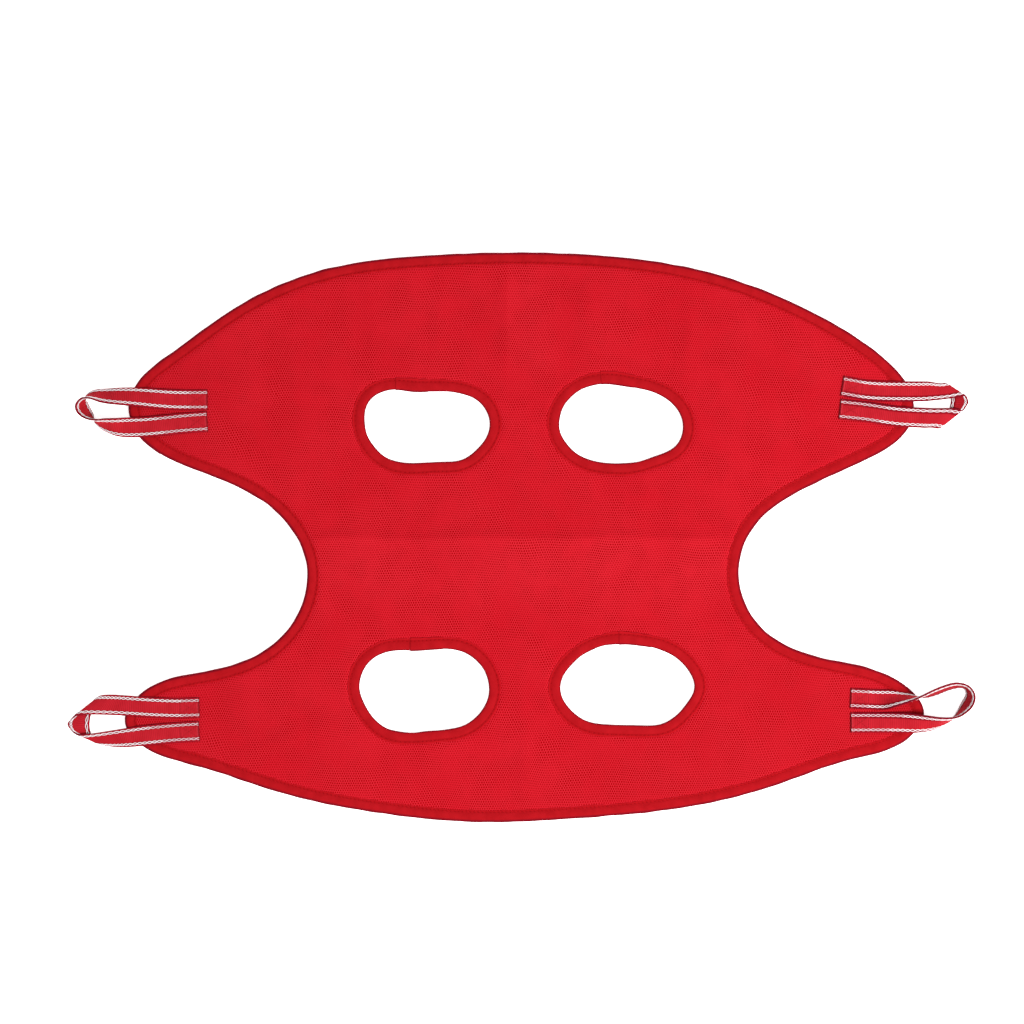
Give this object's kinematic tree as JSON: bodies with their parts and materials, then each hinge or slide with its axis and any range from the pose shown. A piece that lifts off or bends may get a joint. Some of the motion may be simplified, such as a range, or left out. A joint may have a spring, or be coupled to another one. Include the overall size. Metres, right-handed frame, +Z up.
{
  "type": "pet grooming hammock",
  "caption": "Flat mesh-cloth sling with oval leg openings, tape-bound edges, notched sides and webbing hanging loops at its corners.",
  "frame": {"origin": "middle of the underside as the hammock lies flat and open", "axes": "+X to the hammock's right, along its longest side; +Y to its front edge; +Z up, out of the face the stitched loops lie on"},
  "size_m": [0.7114, 0.4499, 0.0197],
  "materials": {
    "air_mesh": "red polyester air mesh with fine staggered holes",
    "binding_tape": "darker red folded polyester tape, fine cross-ribbed weave",
    "sewing_thread": "red polyester thread",
    "webbing": "pinkish red woven polyester webbing",
    "reflective_yarn": "white reflective chain yarn"
  },
  "bodies": {
    "centre": {"panel_centre": "air_mesh", "edge_binding_front": "binding_tape", "edge_binding_rear": "binding_tape", "edge_stitching_front": "sewing_thread", "edge_stitching_rear": "sewing_thread", "front_left_leg_binding": "binding_tape", "front_left_leg_stitching": "sewing_thread", "front_right_leg_binding": "binding_tape", "front_right_leg_stitching": "sewing_thread", "rear_left_leg_binding": "binding_tape", "rear_left_leg_stitching": "sewing_thread", "rear_right_leg_binding": "binding_tape", "rear_right_leg_stitching": "sewing_thread"},
    "left_wing": {"panel_left_wing": "air_mesh", "edge_binding_left_front": "binding_tape", "edge_binding_left_rear": "binding_tape", "edge_stitching_left_front": "sewing_thread", "edge_stitching_left_rear": "sewing_thread", "front_left_strap_ends": "webbing", "front_left_box_stitching": "sewing_thread", "front_left_strap_end_yarn": "reflective_yarn", "rear_left_strap_ends": "webbing", "rear_left_box_stitching": "sewing_thread", "rear_left_strap_end_yarn": "reflective_yarn"},
    "right_wing": {"panel_right_wing": "air_mesh", "edge_binding_right_front": "binding_tape", "edge_binding_right_rear": "binding_tape", "edge_stitching_right_front": "sewing_thread", "edge_stitching_right_rear": "sewing_thread", "front_right_strap_ends": "webbing", "front_right_box_stitching": "sewing_thread", "front_right_strap_end_yarn": "reflective_yarn", "rear_right_strap_ends": "webbing", "rear_right_box_stitching": "sewing_thread", "rear_right_strap_end_yarn": "reflective_yarn"},
    "front_left_hanging_loop": {"front_left_loop": "webbing", "front_left_loop_yarn": "reflective_yarn"},
    "front_right_hanging_loop": {"front_right_loop": "webbing", "front_right_loop_yarn": "reflective_yarn"},
    "rear_left_hanging_loop": {"rear_left_loop": "webbing", "rear_left_loop_yarn": "reflective_yarn"},
    "rear_right_hanging_loop": {"rear_right_loop": "webbing", "rear_right_loop_yarn": "reflective_yarn"}
  },
  "joints": [
    {"name": "left_side_fold", "type": "hinge", "parent": "centre", "child": "left_wing", "pos_m": [-0.15, 0, 0.0032], "axis": [0, 1, 0], "range_deg": [0, 90]},
    {"name": "right_side_fold", "type": "hinge", "parent": "centre", "child": "right_wing", "pos_m": [0.155, 0, 0.0032], "axis": [0, -1, 0], "range_deg": [0, 90]},
    {"name": "front_left_loop_swing", "type": "hinge", "parent": "left_wing", "child": "front_left_hanging_loop", "pos_m": [-0.263, 0.0991, 0.0046], "axis": [0, 1, 0], "range_deg": [0, 120]},
    {"name": "front_right_loop_swing", "type": "hinge", "parent": "right_wing", "child": "front_right_hanging_loop", "pos_m": [0.2705, 0.109, 0.0046], "axis": [-0.0523, -0.9986, 0], "range_deg": [0, 120]},
    {"name": "rear_left_loop_swing", "type": "hinge", "parent": "left_wing", "child": "rear_left_hanging_loop", "pos_m": [-0.2688, -0.1444, 0.0046], "axis": [0, 1, 0], "range_deg": [0, 120]},
    {"name": "rear_right_loop_swing", "type": "hinge", "parent": "right_wing", "child": "rear_right_hanging_loop", "pos_m": [0.276, -0.1372, 0.0046], "axis": [0, -1, 0], "range_deg": [0, 120]}
  ]
}
